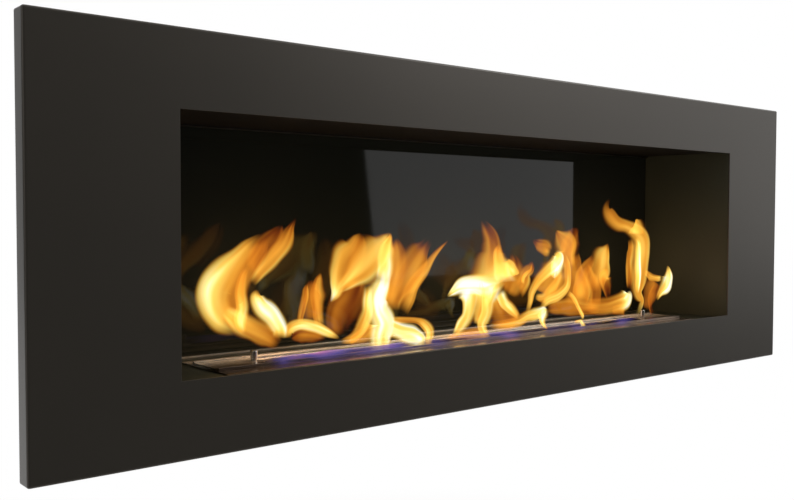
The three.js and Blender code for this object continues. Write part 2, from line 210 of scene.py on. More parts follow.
# Three dull dark cloths, seen only in reflections: a screen in front whose right edge leans a little,
# one laid on the floor, and a screen at the left. They give the black front its gradient.
CLOTH_TOP, CLOTH_LAID = 2.5, FLOOR_HEIGHT + 0.005
CLOTH_CORNERS = {
    "studio_screen": ((2.307, -3, FLOOR_HEIGHT), (1.888, -3, CLOTH_TOP), (-4.5, -3, CLOTH_TOP),
                      (-4.5, -3, FLOOR_HEIGHT)),
    "studio_floor_cloth": ((-4.5, -0.8, CLOTH_LAID), (8, -0.8, CLOTH_LAID), (8, -8, CLOTH_LAID),
                           (-4.5, -8, CLOTH_LAID)),
    "studio_side_screen": ((-3.5, 0, FLOOR_HEIGHT), (-3.5, 8, FLOOR_HEIGHT), (-3.5, 8, CLOTH_TOP),
                           (-3.5, 0, CLOTH_TOP))}
screen_cloth, tree = new_material("dark_screen_cloth")
place = add_node(tree, "TexCoord").outputs["Object"]
_, tone = clouded(tree, place, 30.0, 2.0, "161617", "202021")
surface(tree, "BsdfDiffuse", {"Color": tone})
for name, corners in CLOTH_CORNERS.items():
    bm = bmesh.new()
    bmesh.ops.contextual_create(bm, geom=[bm.verts.new(corner) for corner in corners])
    screen = new_piece(name, bm, screen_cloth)
    screen.visible_camera = False
    screen.visible_diffuse = False
    screen.visible_shadow = False

# ---- Case: five folded sheets behind the surround ----
# Hot-dip galvanised steel, 1.5 mm, cut, folded and screwed together. The zinc has frozen in flat
# crystals some 10 mm across, each with its own grey and its own shine, over pits of a millimetre.
zinc_sheet, tree = new_material("hot_dip_galvanised_steel")
place = add_node(tree, "TexCoord").outputs["Object"]
crystals = add_node(tree, "TexVoronoi", {"Vector": place, "Scale": 95.0})
drift = add_node(tree, "TexNoise", {"Vector": place, "Scale": 22.0, "Detail": 3.0})
split = add_node(tree, "SeparateColor", {0: crystals.outputs["Color"]})
blend = add_node(tree, "Mix", {0: 0.35, 2: split.outputs[0], 3: drift})
tone = add_node(tree, "Mix", {"Factor": blend, "A": "9aa0a3", "B": "c3c8ca"}, data_type="RGBA")
shine = add_node(tree, "MapRange", {"Value": split.outputs[1], "To Min": 0.3, "To Max": 0.5})
pits = add_node(tree, "TexNoise", {"Vector": place, "Scale": 700.0, "Detail": 2.0})
height = add_node(tree, "Mix", {0: 0.3, 2: split.outputs[2], 3: pits})
relief = add_node(tree, "Bump", {"Height": height, "Strength": 0.25, "Distance": 0.0001})
surface(tree, "BsdfPrincipled", {
    "Base Color": tone, "Metallic": 1.0, "Roughness": shine, "Normal": relief})

SAME_POINT = 1e-6
FLAT_WITHIN = math.radians(1)


def eased(bm, radius, segments=2, sharp_from=math.radians(40)):
    """Rounds bm's sharp edges by radius."""
    sharp = [e for e in bm.edges if len(e.link_faces) == 2 and e.calc_face_angle() > sharp_from]
    bmesh.ops.bevel(bm, geom=sharp, offset=radius, segments=segments, affect="EDGES", profile=0.5,
                    material=-1, clamp_overlap=True)


def fitted(name, bm, material, node, body):
    """A new piece in material, which stands in for its CAD node, now hidden, and rides on body."""
    made = new_piece(name, bm, material)
    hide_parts(node)
    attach(made, body)
    return made


def softened(name, node, body, material, radius):
    """A copy of a CAD node's mesh with its edges eased by radius, which stands for the node."""
    bm = bmesh.new()
    bm.from_mesh(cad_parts[node].data)
    bmesh.ops.remove_doubles(bm, verts=bm.verts, dist=SAME_POINT)
    bmesh.ops.dissolve_limit(bm, angle_limit=FLAT_WITHIN, verts=bm.verts, edges=bm.edges)
    eased(bm, radius)
    fitted(name, bm, material, node, body)


EASED_SHEET_EDGE = 0.0003
for side in ("left", "right", "top", "bottom", "back"):
    softened(f"case_sheet_{side}", f"case_{side}", "housing", zinc_sheet, EASED_SHEET_EDGE)

# Pan-head tapping screws, cold headed with a cross recess and rolled threads, then zinc plated. The
# clear bluish coat is bright, with a faint yellow bloom and dull patches a millimetre or two wide.
zinc_plate, tree = new_material("bright_zinc_plated_steel")
place = add_node(tree, "TexCoord").outputs["Object"]
bloom = add_node(tree, "TexNoise", {"Vector": place, "Scale": 420.0, "Detail": 3.0})
tone = add_node(tree, "ValToRGB", {0: bloom}, [(0.3, "a9b2ba"), (0.55, "c6cbcd"), (0.75, "cdc9b4")])
rub = add_node(tree, "TexNoise", {"Vector": place, "Scale": 1500.0, "Detail": 3.0})
shine = add_node(tree, "MapRange", {"Value": rub, "To Min": 0.2, "To Max": 0.42})
relief = add_node(tree, "Bump", {"Height": rub, "Strength": 0.3, "Distance": 0.00003})
surface(tree, "BsdfPrincipled", {
    "Base Color": tone, "Metallic": 1.0, "Roughness": shine, "Normal": relief})


def turned(profile, sides, ring=False):
    """A body turned round Z from (radius, height) points. A ring's last point joins its first."""
    made = bmesh.new()
    points = [made.verts.new((radius, 0, height)) for radius, height in profile]
    line = [made.edges.new(pair) for pair in zip(points, points[1:])]
    if ring:
        line.append(made.edges.new((points[-1], points[0])))
    bmesh.ops.spin(made, geom=points + line, cent=(0, 0, 0), axis=(0, 0, 1), angle=math.tau,
                   steps=sides, use_merge=True)
    bmesh.ops.remove_doubles(made, verts=made.verts, dist=SAME_POINT / 10)
    bmesh.ops.recalc_face_normals(made, faces=made.faces)
    return made


def pulled_to(made, radius, outline):
    """Moves the vertices at radius from Z out to outline, which gives a distance for each angle."""
    for vert in made.verts:
        flat = Vector((vert.co.x, vert.co.y))
        if abs(flat.length - radius) < SAME_POINT:
            flat *= outline(math.atan2(flat.y, flat.x)) / radius
            vert.co.x, vert.co.y = flat


def cross_outline(arm, half_width):
    """A cross of two bars, as a distance for each angle."""
    def outline(angle):
        off_arm = abs((angle + math.pi / 4) % (math.pi / 2) - math.pi / 4)
        return min(arm / math.cos(off_arm), half_width / max(math.sin(off_arm), 1e-6))
    return outline


THREAD_STEPS = 14


def threaded_rod(radius, pitch, length):
    """A rod along Z from 0 to length with a V thread wound round it, its ends cut flat."""
    rod = bmesh.new()
    turns = math.ceil(length / pitch) + 2
    flank = [rod.verts.new((radius - dip * pitch, 0, (rise - 1) * pitch))
             for dip, rise in ((0, 0), (0.5, 0.5), (0, 1))]
    edges = [rod.edges.new(pair) for pair in zip(flank, flank[1:])]
    bmesh.ops.spin(rod, geom=flank + edges, cent=(0, 0, 0), axis=(0, 0, 1),
                   dvec=(0, 0, pitch / THREAD_STEPS), angle=math.tau * turns,
                   steps=THREAD_STEPS * turns, use_merge=False)
    bmesh.ops.remove_doubles(rod, verts=rod.verts, dist=SAME_POINT)
    for end, way in ((0, -1), (length, 1)):
        bmesh.ops.bisect_plane(rod, geom=rod.verts[:] + rod.edges[:] + rod.faces[:],
                               plane_co=(0, 0, end), plane_no=(0, 0, way), clear_outer=True)
    bmesh.ops.holes_fill(rod, edges=[e for e in rod.edges if e.is_boundary])
    bmesh.ops.recalc_face_normals(rod, faces=rod.faces)
    if rod.calc_volume(signed=True) < 0:
        bmesh.ops.reverse_faces(rod, faces=rod.faces)
    return rod


def joined_to(made, part, shift):
    """Adds part, moved by shift, to made."""
    bmesh.ops.transform(part, matrix=shift, verts=part.verts)
    carried = bpy.data.meshes.new("carried")
    part.to_mesh(carried)
    part.free()
    made.from_mesh(carried)
    bpy.data.meshes.remove(carried)


RECESS_FLOOR, RECESS_MOUTH = 0.34, 0.36
THREAD_INTO_HEAD = 0.0001


def pan_screw(head, height, shank, pitch, length):
    """A pan-head screw along Z with its seat at 0, its domed head above and its thread below."""
    made = turned([(0, 0.4 * height), (RECESS_FLOOR * head, 0.4 * height),
                   (RECESS_MOUTH * head, 0.97 * height), (0.62 * head, 0.93 * height),
                   (0.87 * head, 0.68 * height), (head, 0.36 * height), (head, 0.08 * height),
                   (0.95 * head, 0), (0, 0)], sides=48)
    pulled_to(made, RECESS_FLOOR * head, cross_outline(0.42 * head, 0.1 * head))
    pulled_to(made, RECESS_MOUTH * head, cross_outline(0.54 * head, 0.15 * head))
    joined_to(made, threaded_rod(shank, pitch, length + THREAD_INTO_HEAD),
              Matrix.Translation((0, 0, -length)))
    return made


TAP_HEAD, TAP_HEAD_HEIGHT, TAP_SHANK, TAP_PITCH, TAP_LENGTH = 0.003, 0.0022, 0.0015, 0.00106, 0.008
for side, turn, count in (("left", Matrix.Rotation(-math.pi / 2, 4, "Y"), 2),
                          ("right", Matrix.Rotation(math.pi / 2, 4, "Y"), 2), ("top", Matrix(), 3)):
    outward = turn.to_3x3() @ Vector((0, 0, 1))
    for i in range(1, count + 1):
        low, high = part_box(f"back_screw_{side}_{i}")
        reach = abs((high - low).dot(outward)) / 2
        seat = (low + high) / 2 + outward * (reach - TAP_HEAD_HEIGHT)
        bm = pan_screw(TAP_HEAD, TAP_HEAD_HEIGHT, TAP_SHANK, TAP_PITCH, TAP_LENGTH)
        bmesh.ops.transform(bm, matrix=Matrix.Translation(seat) @ turn, verts=bm.verts)
        fitted(f"tapping_screw_{side}_{i}", bm, zinc_plate, f"back_screw_{side}_{i}", "housing")

# ---- Liner: side pans, ceiling and hearth floor ----
# Folded mild steel sheet in matt black stove paint, sprayed and baked. The paint is dry and slightly
# uneven. The side pans and the hearth are painted a lighter olive grey, which is painted firelight,
# and the ceiling and the top clamp a deeper black, which is painted shade.


def stove_paint(name, dark, pale):
    """Matt heat-proof paint, with cloudy overspray and a grain drawn 1 mm coarse so that it shows."""
    made, tree = new_material(name)
    place = add_node(tree, "TexCoord").outputs["Object"]
    cloud, tone = clouded(tree, place, 14.0, 4.0, dark, pale)
    dryness = add_node(tree, "MapRange", {"Value": cloud, "To Min": 0.45, "To Max": 0.62})
    speck = add_node(tree, "TexNoise", {"Vector": place, "Scale": 1100.0, "Detail": 2.0})
    relief = add_node(tree, "Bump", {"Height": speck, "Strength": 0.3, "Distance": 0.00008})
    surface(tree, "BsdfPrincipled", {
        "Base Color": tone, "Roughness": dryness, "IOR": 1.45, "Normal": relief})
    return made


# Two copies of one stove paint: the olive one is painted firelight, the near-black one painted shade.
painted_firelight_paint = stove_paint("stove_paint_painted_firelit", "1e2119", "2d3026")
painted_shade_paint = stove_paint("stove_paint_painted_shaded", "0b0a08", "15130f")
for node, name, paint in (
        ("liner_left", "liner_pan_left", painted_firelight_paint), ("liner_right", "liner_pan_right", painted_firelight_paint),
        ("liner_ceiling", "liner_roof", painted_shade_paint), ("hearth_floor", "hearth_tray", painted_firelight_paint),
        ("glass_strip_top", "glass_clamp_top", painted_shade_paint)):
    softened(name, node, "housing", paint, EASED_SHEET_EDGE)

# Solid steel rivets through the lapped edges of the pans, set with a domed head on both sides.
RIVET_SHANK, RIVET_HEAD, RIVET_HEAD_HEIGHT = 0.0016, 0.0032, 0.0012
for row in ("top", "bottom"):
    for i in range(1, 5):
        low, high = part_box(f"liner_rivet_{row}_{i}")
        grip = (high.z - low.z) / 2 - RIVET_HEAD_HEIGHT
        dome = [(share * RIVET_HEAD, grip + rise * RIVET_HEAD_HEIGHT) for share, rise in (
            (1, 0), (1, 0.12), (0.93, 0.42), (0.78, 0.68), (0.5, 0.91), (0.2, 0.99), (0, 1))]
        upper = [(RIVET_SHANK, grip)] + dome
        bm = turned([(r, -z) for r, z in reversed(upper)] + upper, sides=32)
        bmesh.ops.translate(bm, verts=bm.verts, vec=(low + high) / 2)
        fitted(f"dome_rivet_{row}_{i}", bm, zinc_plate, f"liner_rivet_{row}_{i}", "housing")

# ---- Back glass and its cushions ----
# One sheet of 4 mm glass ceramic, black right through, with ground edges. It is rolled, so its mirror
# images waver over some 150 mm. Its low index keeps them as faint as they are in the photograph.
black_glass, tree = new_material("black_glass_ceramic")
place = add_node(tree, "TexCoord").outputs["Object"]
wave, tone = clouded(tree, place, 7.0, 1.0, "10130f", "171916")
smear = add_node(tree, "TexNoise", {"Vector": place, "Scale": 40.0, "Detail": 5.0})
shine = add_node(tree, "MapRange", {"Value": smear, "To Min": 0.015, "To Max": 0.05})
relief = add_node(tree, "Bump", {"Height": wave, "Strength": 0.1, "Distance": 0.0002})
surface(tree, "BsdfPrincipled", {
    "Base Color": tone, "Roughness": shine, "IOR": 1.375, "Normal": relief})
softened("black_glass_sheet", "back_glass", "housing", black_glass, 0.0006)

# Four soft cushions of needled ceramic fibre press the glass forward against its clamps. The felt is
# chalk white, with tufts 1 mm wide and 10 mm long lying two ways, drawn coarser than the real fibres,
# and scorched in patches.
ceramic_fibre, tree = new_material("needled_ceramic_fibre")
place = add_node(tree, "TexCoord").outputs["Object"]
tufts = []
for turn, stretch in (((0.3, 0.2, 0.5), (90, 900, 500)), ((0.8, 1.1, 2.1), (800, 110, 600))):
    laid = add_node(tree, "Mapping", {"Vector": place, "Rotation": turn, "Scale": stretch})
    tufts.append(add_node(tree, "TexNoise", {"Vector": laid, "Scale": 1.0, "Detail": 4.0}))
fibres = add_node(tree, "Math", {0: tufts[0], 1: tufts[1]}, operation="MAXIMUM")
scorch = add_node(tree, "TexNoise", {"Vector": place, "Scale": 38.0, "Detail": 3.0})
scorch = add_node(tree, "MapRange", {"Value": scorch, "From Min": 0.52, "From Max": 0.8}, **SOFTLY)
clean = add_node(tree, "ValToRGB", {0: fibres}, [(0.4, "cfcabd"), (0.6, "ebe8df"), (0.75, "f6f4ee")])
tone = add_node(tree, "Mix", {"Factor": scorch, "A": clean, "B": "b3a48c"}, data_type="RGBA")
relief = add_node(tree, "Bump", {"Height": fibres, "Strength": 0.7, "Distance": 0.0004})
surface(tree, "BsdfPrincipled", {
    "Base Color": tone, "Roughness": 0.95, "Sheen Weight": 0.3, "Normal": relief})

BROAD_LUMPS, FINE_LUMPS = 130, 420


def fibre_felt(node, cell, lumps):
    """A CAD solid remade in soft felt: rounded, with lumps that only ever lie inside the solid."""
    block = bpy.data.objects.new("cut_block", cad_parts[node].data.copy())
    scene.collection.objects.link(block)
    cells = block.modifiers.new("even_cells", "REMESH")
    cells.mode = "VOXEL"
    cells.voxel_size = cell
    rounded = block.modifiers.new("rounded", "SMOOTH")
    rounded.iterations = 5
    bpy.context.view_layer.update()
    bm = bmesh.new()
    bm.from_mesh(block.evaluated_get(bpy.context.evaluated_depsgraph_get()).to_mesh())
    bpy.data.objects.remove(block)
    bm.normal_update()
    for vert in bm.verts:
        broad = 0.35 * noise.noise(vert.co * BROAD_LUMPS)
        dip = 0.5 + broad + 0.2 * noise.noise(vert.co * FINE_LUMPS)
        vert.co -= vert.normal * lumps * dip
    return bm


CUSHION_CELL, CUSHION_LUMPS = 0.0022, 0.0005
CUSHION_WAIST = 0.07
for i in range(1, 5):
    bm = fibre_felt(f"glass_pad_{i}", CUSHION_CELL, CUSHION_LUMPS)
    low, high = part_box(f"glass_pad_{i}")
    middle, half = (low + high) / 2, (high - low) / 2
    for vert in bm.verts:
        off = vert.co - middle
        waist_x = 1 - CUSHION_WAIST * (1 - min(abs(off.z) / half.z, 1) ** 2)
        waist_z = 1 - CUSHION_WAIST * (1 - min(abs(off.x) / half.x, 1) ** 2)
        vert.co = middle + Vector((off.x * waist_x, off.y, off.z * waist_z))
    cushion = fitted(f"glass_cushion_{i}", bm, ceramic_fibre, f"glass_pad_{i}", "housing")

# ---- Surround: the folded front ----
# One 2 mm steel sheet, laser cut with its letterbox opening and folded back 20 mm all round, its
# corners welded and ground, then powder coated in a warm satin black. Fine orange peel, some 1.5 mm
# across, blurs what the coat mirrors.
powder_coat, tree = new_material("satin_black_powder_coat")
place = add_node(tree, "TexCoord").outputs["Object"]
_, tone = clouded(tree, place, 5.0, 3.0, "292723", "302d28")
peel = add_node(tree, "TexNoise", {"Vector": place, "Scale": 650.0, "Detail": 1.5})
shine = add_node(tree, "MapRange", {"Value": peel, "To Min": 0.32, "To Max": 0.4})
relief = add_node(tree, "Bump", {"Height": peel, "Strength": 0.2, "Distance": 0.00006})
surface(tree, "BsdfPrincipled", {
    "Base Color": tone, "Roughness": shine, "IOR": 1.5, "Specular Tint": "fff4e8", "Normal": relief})

SURROUND_SHEET, SURROUND_EASED = 0.002, 0.00025
FOLD_RADIUS, FOLD_STEPS = 0.0024, 4
OPENING_HALF_WIDTH, OPENING_HALF_HEIGHT = 0.46, 0.125


def framed_grid(bm, xs, ys):
    """A flat three by three grid with its lines at xs and ys, without its middle face."""
    for vert in bmesh.ops.create_grid(bm, x_segments=3, y_segments=3, size=1)["verts"]:
        column = round((vert.co.x + 1) * 1.5)
        row = round((vert.co.y + 1) * 1.5)
        vert.co = (xs[column], ys[row], 0)
    centre = Vector(((xs[1] + xs[2]) / 2, (ys[1] + ys[2]) / 2, 0))
    middle = min(bm.faces, key=lambda face: (face.calc_center_median() - centre).length)
    bmesh.ops.delete(bm, geom=[middle], context="FACES_ONLY")


low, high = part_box("front_frame")
bm = bmesh.new()
framed_grid(bm, (low.x, -OPENING_HALF_WIDTH, OPENING_HALF_WIDTH, high.x),
            (low.z, -OPENING_HALF_HEIGHT, OPENING_HALF_HEIGHT, high.z))
bmesh.ops.rotate(bm, verts=bm.verts, matrix=Matrix.Rotation(math.radians(90), 3, "X"))
bmesh.ops.translate(bm, verts=bm.verts, vec=(0, low.y, 0))
edge_x, edge_z = 0.99 * high.x, 0.99 * high.z
outer = [e for e in bm.edges if e.is_boundary
         and any(abs(v.co.x) > edge_x or abs(v.co.z) > edge_z for v in e.verts)]
fold = bmesh.ops.extrude_edge_only(bm, edges=outer)["geom"]
bmesh.ops.translate(bm, verts=[g for g in fold if isinstance(g, bmesh.types.BMVert)],
                    vec=(0, high.y - low.y, 0))
bmesh.ops.recalc_face_normals(bm, faces=bm.faces)
eased(bm, FOLD_RADIUS, FOLD_STEPS)
if next(f for f in bm.faces if abs(f.normal.y) > 0.9).normal.y > 0:
    bmesh.ops.reverse_faces(bm, faces=bm.faces)
bmesh.ops.solidify(bm, geom=bm.faces, thickness=SURROUND_SHEET)
eased(bm, SURROUND_EASED, sharp_from=math.radians(57))

# Eight M5 studs are welded to the back of the sheet, and hexagon nuts on them hold the case.
STUD_RADIUS, STUD_PITCH, STUD_LENGTH, STUD_FOOT = 0.0025, 0.0008, 0.012, 0.0006
NUT_FLATS, NUT_HEIGHT, NUT_BORE, NUT_EASED = 0.008, 0.004, 0.00255, 0.0004
NUT_CHAMFER = math.radians(30)
OUT_OF_SHEET = Matrix.Rotation(-math.pi / 2, 4, "X")
nut_boxes = [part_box(f"frame_nut_{i}") for i in range(1, 9)]
nut_places = [Vector(((a.x + b.x) / 2, a.y, (a.z + b.z) / 2)) for a, b in nut_boxes]
for nut_place in nut_places:
    root = Vector((nut_place.x, low.y + SURROUND_SHEET, nut_place.z))
    foot = turned([(0, 0), (1.3 * STUD_RADIUS, 0), (1.25 * STUD_RADIUS, 0.7 * STUD_FOOT),
                   (STUD_RADIUS, 1.4 * STUD_FOOT), (0, 1.4 * STUD_FOOT)], sides=28)
    joined_to(bm, foot, Matrix.Translation(root) @ OUT_OF_SHEET)
    stud = threaded_rod(STUD_RADIUS, STUD_PITCH, STUD_LENGTH - STUD_FOOT)
    joined_to(bm, stud, Matrix.Translation(root + Vector((0, STUD_FOOT, 0))) @ OUT_OF_SHEET)
fitted("folded_surround", bm, powder_coat, "front_frame", "housing")


def hexagon(angle):
    """A nut's outline: half its width across flats at each flat, and more at its corners."""
    return NUT_FLATS / 2 / math.cos((angle + math.pi / 6) % (math.pi / 3) - math.pi / 6)


for i, (nut_place, (nut_low, nut_high)) in enumerate(zip(nut_places, nut_boxes), 1):
    face, flat = 0.95 * NUT_FLATS / 2, NUT_FLATS / 2
    mouth = NUT_BORE + NUT_EASED
    bm = turned([(NUT_BORE, NUT_EASED), (mouth, 0), (face, 0), (flat, NUT_EASED),
                 (flat, NUT_HEIGHT - NUT_EASED), (face, NUT_HEIGHT), (mouth, NUT_HEIGHT),
                 (NUT_BORE, NUT_HEIGHT - NUT_EASED)], sides=36, ring=True)
    pulled_to(bm, flat, hexagon)
    for vert in bm.verts:
        past = Vector((vert.co.x, vert.co.y)).length - face
        if past > 1e-5:
            slope = past * math.tan(NUT_CHAMFER)
            vert.co.z = slope if vert.co.z < NUT_HEIGHT / 2 else NUT_HEIGHT - slope
    lies_flat = nut_high.x - nut_low.x < 1.05 * NUT_FLATS
    spun = Matrix.Rotation(0 if lies_flat else math.pi / 6, 4, "Z")
    bmesh.ops.transform(bm, matrix=Matrix.Translation(nut_place) @ OUT_OF_SHEET @ spun, verts=bm.verts)
    fitted(f"hexagon_nut_{i}", bm, zinc_plate, f"frame_nut_{i}", "housing")

# ---- Burner: plate, rails, tank and wool ----
# The plate and its rails are stainless steel, polished lengthwise, with the plate welded on the tank.
# In front of the slot they are tinted brown, partly the fire's heat tint and partly painted shade for
# the dark that the polished steel mirrors there. Behind the slot they are made less metallic, so their
# pale colour shows as a painted highlight for the bright fire mirrored there. The tank, hung in the
# hearth floor, is brushed, and so is the strip under the glass.
TINT_AND_SHADE_BEFORE, CLEAN_FROM, TINT_WANDERS = -0.114, -0.078, 0.012


def stainless(name, pale, dark, grain, low_shine, high_shine, lift, heat_tint_and_shade=None):
    """Stainless steel with fine lines, grain of them per metre along each axis, and lift high.

    They are drawn 0.4 to 0.9 mm apart, coarser than real ones, so that they show, and they draw each
    highlight out across them. The colour given for the steel before the slot is partly the fire's heat
    tint and partly painted shade. With it, the steel behind the slot is made less metallic, a painted
    highlight.
    """
    made, tree = new_material(name)
    place = add_node(tree, "TexCoord").outputs["Object"]
    drawn = add_node(tree, "Mapping", {"Vector": place, "Scale": grain})
    lines = add_node(tree, "TexNoise", {"Vector": drawn, "Scale": 1.0, "Detail": 2.0})
    cloud = add_node(tree, "TexNoise", {"Vector": place, "Scale": 18.0, "Detail": 2.0})
    mixed = add_node(tree, "Mix", {0: 0.7, 2: lines, 3: cloud})
    tone = add_node(tree, "Mix", {"Factor": mixed, "A": dark, "B": pale}, data_type="RGBA")
    metal_share = 1.0
    if heat_tint_and_shade:
        split = add_node(tree, "SeparateXYZ", {"Vector": place})
        wavy = add_node(tree, "Math", {0: cloud, 1: TINT_WANDERS, 2: split.outputs["Y"]},
                        operation="MULTIPLY_ADD")
        clean = add_node(tree, "MapRange", {
            "Value": wavy, "From Min": TINT_AND_SHADE_BEFORE, "From Max": CLEAN_FROM}, **SOFTLY)
        tone = add_node(tree, "Mix", {"Factor": clean, "A": heat_tint_and_shade, "B": tone}, data_type="RGBA")
        # Less metal behind the slot lets the pale base colour show under the lamps: a painted highlight.
        metal_share = add_node(tree, "MapRange", {"Value": clean, "To Min": 0.97, "To Max": 0.74})
    shine = add_node(tree, "MapRange", {"Value": lines, "To Min": low_shine, "To Max": high_shine})
    relief = add_node(tree, "Bump", {"Height": lines, "Strength": 0.3, "Distance": lift})
    surface(tree, "BsdfPrincipled", {
        "Base Color": tone, "Metallic": metal_share, "Roughness": shine, "Normal": relief})
    return made


polished_steel = stainless("polished_stainless_steel", "e2ded6", "dad5cb", (4, 1100, 1100), 0.18, 0.22,
                           0.0000005, heat_tint_and_shade="9a8a7c")
brushed_steel = stainless("brushed_stainless_steel", "dcd5c7", "cbc2b3", (6, 1600, 1600), 0.26, 0.34,
                          0.000004)

SLOT_HALF_LENGTH, SLOT_FRONT, SLOT_REAR = 0.3448, -0.119, -0.077
PLATE_EASED, RAIL_EASED, TANK_EASED = 0.0003, 0.0002, 0.0004
low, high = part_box("burner_top_plate")
bm = bmesh.new()
framed_grid(bm, (low.x, -SLOT_HALF_LENGTH, SLOT_HALF_LENGTH, high.x),
            (low.y, SLOT_FRONT, SLOT_REAR, high.y))
bmesh.ops.translate(bm, verts=bm.verts, vec=(0, 0, high.z))
bmesh.ops.solidify(bm, geom=bm.faces, thickness=high.z - low.z)
eased(bm, PLATE_EASED)
fitted("burner_deck", bm, polished_steel, "burner_top_plate", "burner")

for name, node, body, steel, radius in (
        ("slot_rail_front", "guide_rail_front", "burner", polished_steel, RAIL_EASED),
        ("slot_rail_rear", "guide_rail_rear", "burner", polished_steel, RAIL_EASED),
        ("fuel_tank", "burner_tank", "burner", brushed_steel, TANK_EASED),
        ("glass_clamp_bottom", "glass_strip_bottom", "housing", brushed_steel, RAIL_EASED)):
    softened(name, node, body, steel, radius)

# The tank is packed with a block of the same needled fibre, which soaks up the fuel.
WOOL_CELL, WOOL_LUMPS = 0.0032, 0.0012
bm = fibre_felt("ceramic_wool", WOOL_CELL, WOOL_LUMPS)
wool = fitted("fuel_wool", bm, ceramic_fibre, "ceramic_wool", "burner")

# ---- Dampers: two sliding blades with knobs ----
# Each blade is 1.5 mm polished stainless steel. Its knob is turned from stainless bar, faced and
# chamfered, and an M4 screw from below holds the two together. Fine rings left by the tool, drawn
# 0.4 mm apart, run round the knob and stretch its highlight upwards.
turned_steel = stainless("turned_stainless_steel", "ece9e2", "dad6cc", (30, 30, 2600), 0.18, 0.28, 0.000002)
KNOB_RADIUS, KNOB_FOOT, KNOB_CHAMFER, KNOB_EASED = 0.004, 0.0033, 0.0006, 0.0002
KNOB_FOOT_HEIGHT, KNOB_BORE, KNOB_BORE_DEPTH = 0.0014, 0.00205, 0.0074
SCREW_HEAD, SCREW_HEAD_HEIGHT, SCREW_SHANK, SCREW_PITCH = 0.0035, 0.002, 0.002, 0.0007
for side in ("left", "right"):
    body = f"damper_{side}"
    softened(f"damper_blade_{side}", body, body, polished_steel, RAIL_EASED)
    low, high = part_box(f"damper_knob_{side}")
    tall = high.z - low.z
    bm = turned([
        (0, KNOB_BORE_DEPTH), (KNOB_BORE, KNOB_BORE_DEPTH - KNOB_CHAMFER), (KNOB_BORE, KNOB_EASED),
        (KNOB_BORE + KNOB_EASED, 0), (KNOB_FOOT - KNOB_EASED, 0), (KNOB_FOOT, KNOB_EASED),
        (KNOB_FOOT, KNOB_FOOT_HEIGHT - KNOB_EASED), (KNOB_FOOT + KNOB_EASED, KNOB_FOOT_HEIGHT),
        (KNOB_RADIUS - KNOB_EASED, KNOB_FOOT_HEIGHT), (KNOB_RADIUS, KNOB_FOOT_HEIGHT + KNOB_EASED),
        (KNOB_RADIUS, tall - KNOB_CHAMFER), (KNOB_RADIUS - 0.0001, tall - KNOB_CHAMFER + KNOB_EASED),
        (KNOB_RADIUS - KNOB_CHAMFER + KNOB_EASED, tall - 0.0001), (KNOB_RADIUS - KNOB_CHAMFER, tall),
        (0, tall)], sides=64)
    bmesh.ops.translate(bm, verts=bm.verts, vec=((low.x + high.x) / 2, (low.y + high.y) / 2, low.z))
    fitted(f"turned_knob_{side}", bm, turned_steel, f"damper_knob_{side}", body)
    low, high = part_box(f"damper_screw_{side}")
    bm = pan_screw(SCREW_HEAD, SCREW_HEAD_HEIGHT, SCREW_SHANK, SCREW_PITCH,
                   high.z - low.z - SCREW_HEAD_HEIGHT)
    seat = Matrix.Translation(((low.x + high.x) / 2, (low.y + high.y) / 2, low.z + SCREW_HEAD_HEIGHT))
    bmesh.ops.transform(bm, matrix=seat @ Matrix.Rotation(math.pi, 4, "X"), verts=bm.verts)
    fitted(f"knob_screw_{side}", bm, zinc_plate, f"damper_screw_{side}", body)

# ---- Flames ----
# Burning ethanol, held up by nothing: thin folded sheets of orange gas that rise from the slot, with
# cooler blue roots. A sheet glows and hides little, is brightest at its rims and frays at its ends.


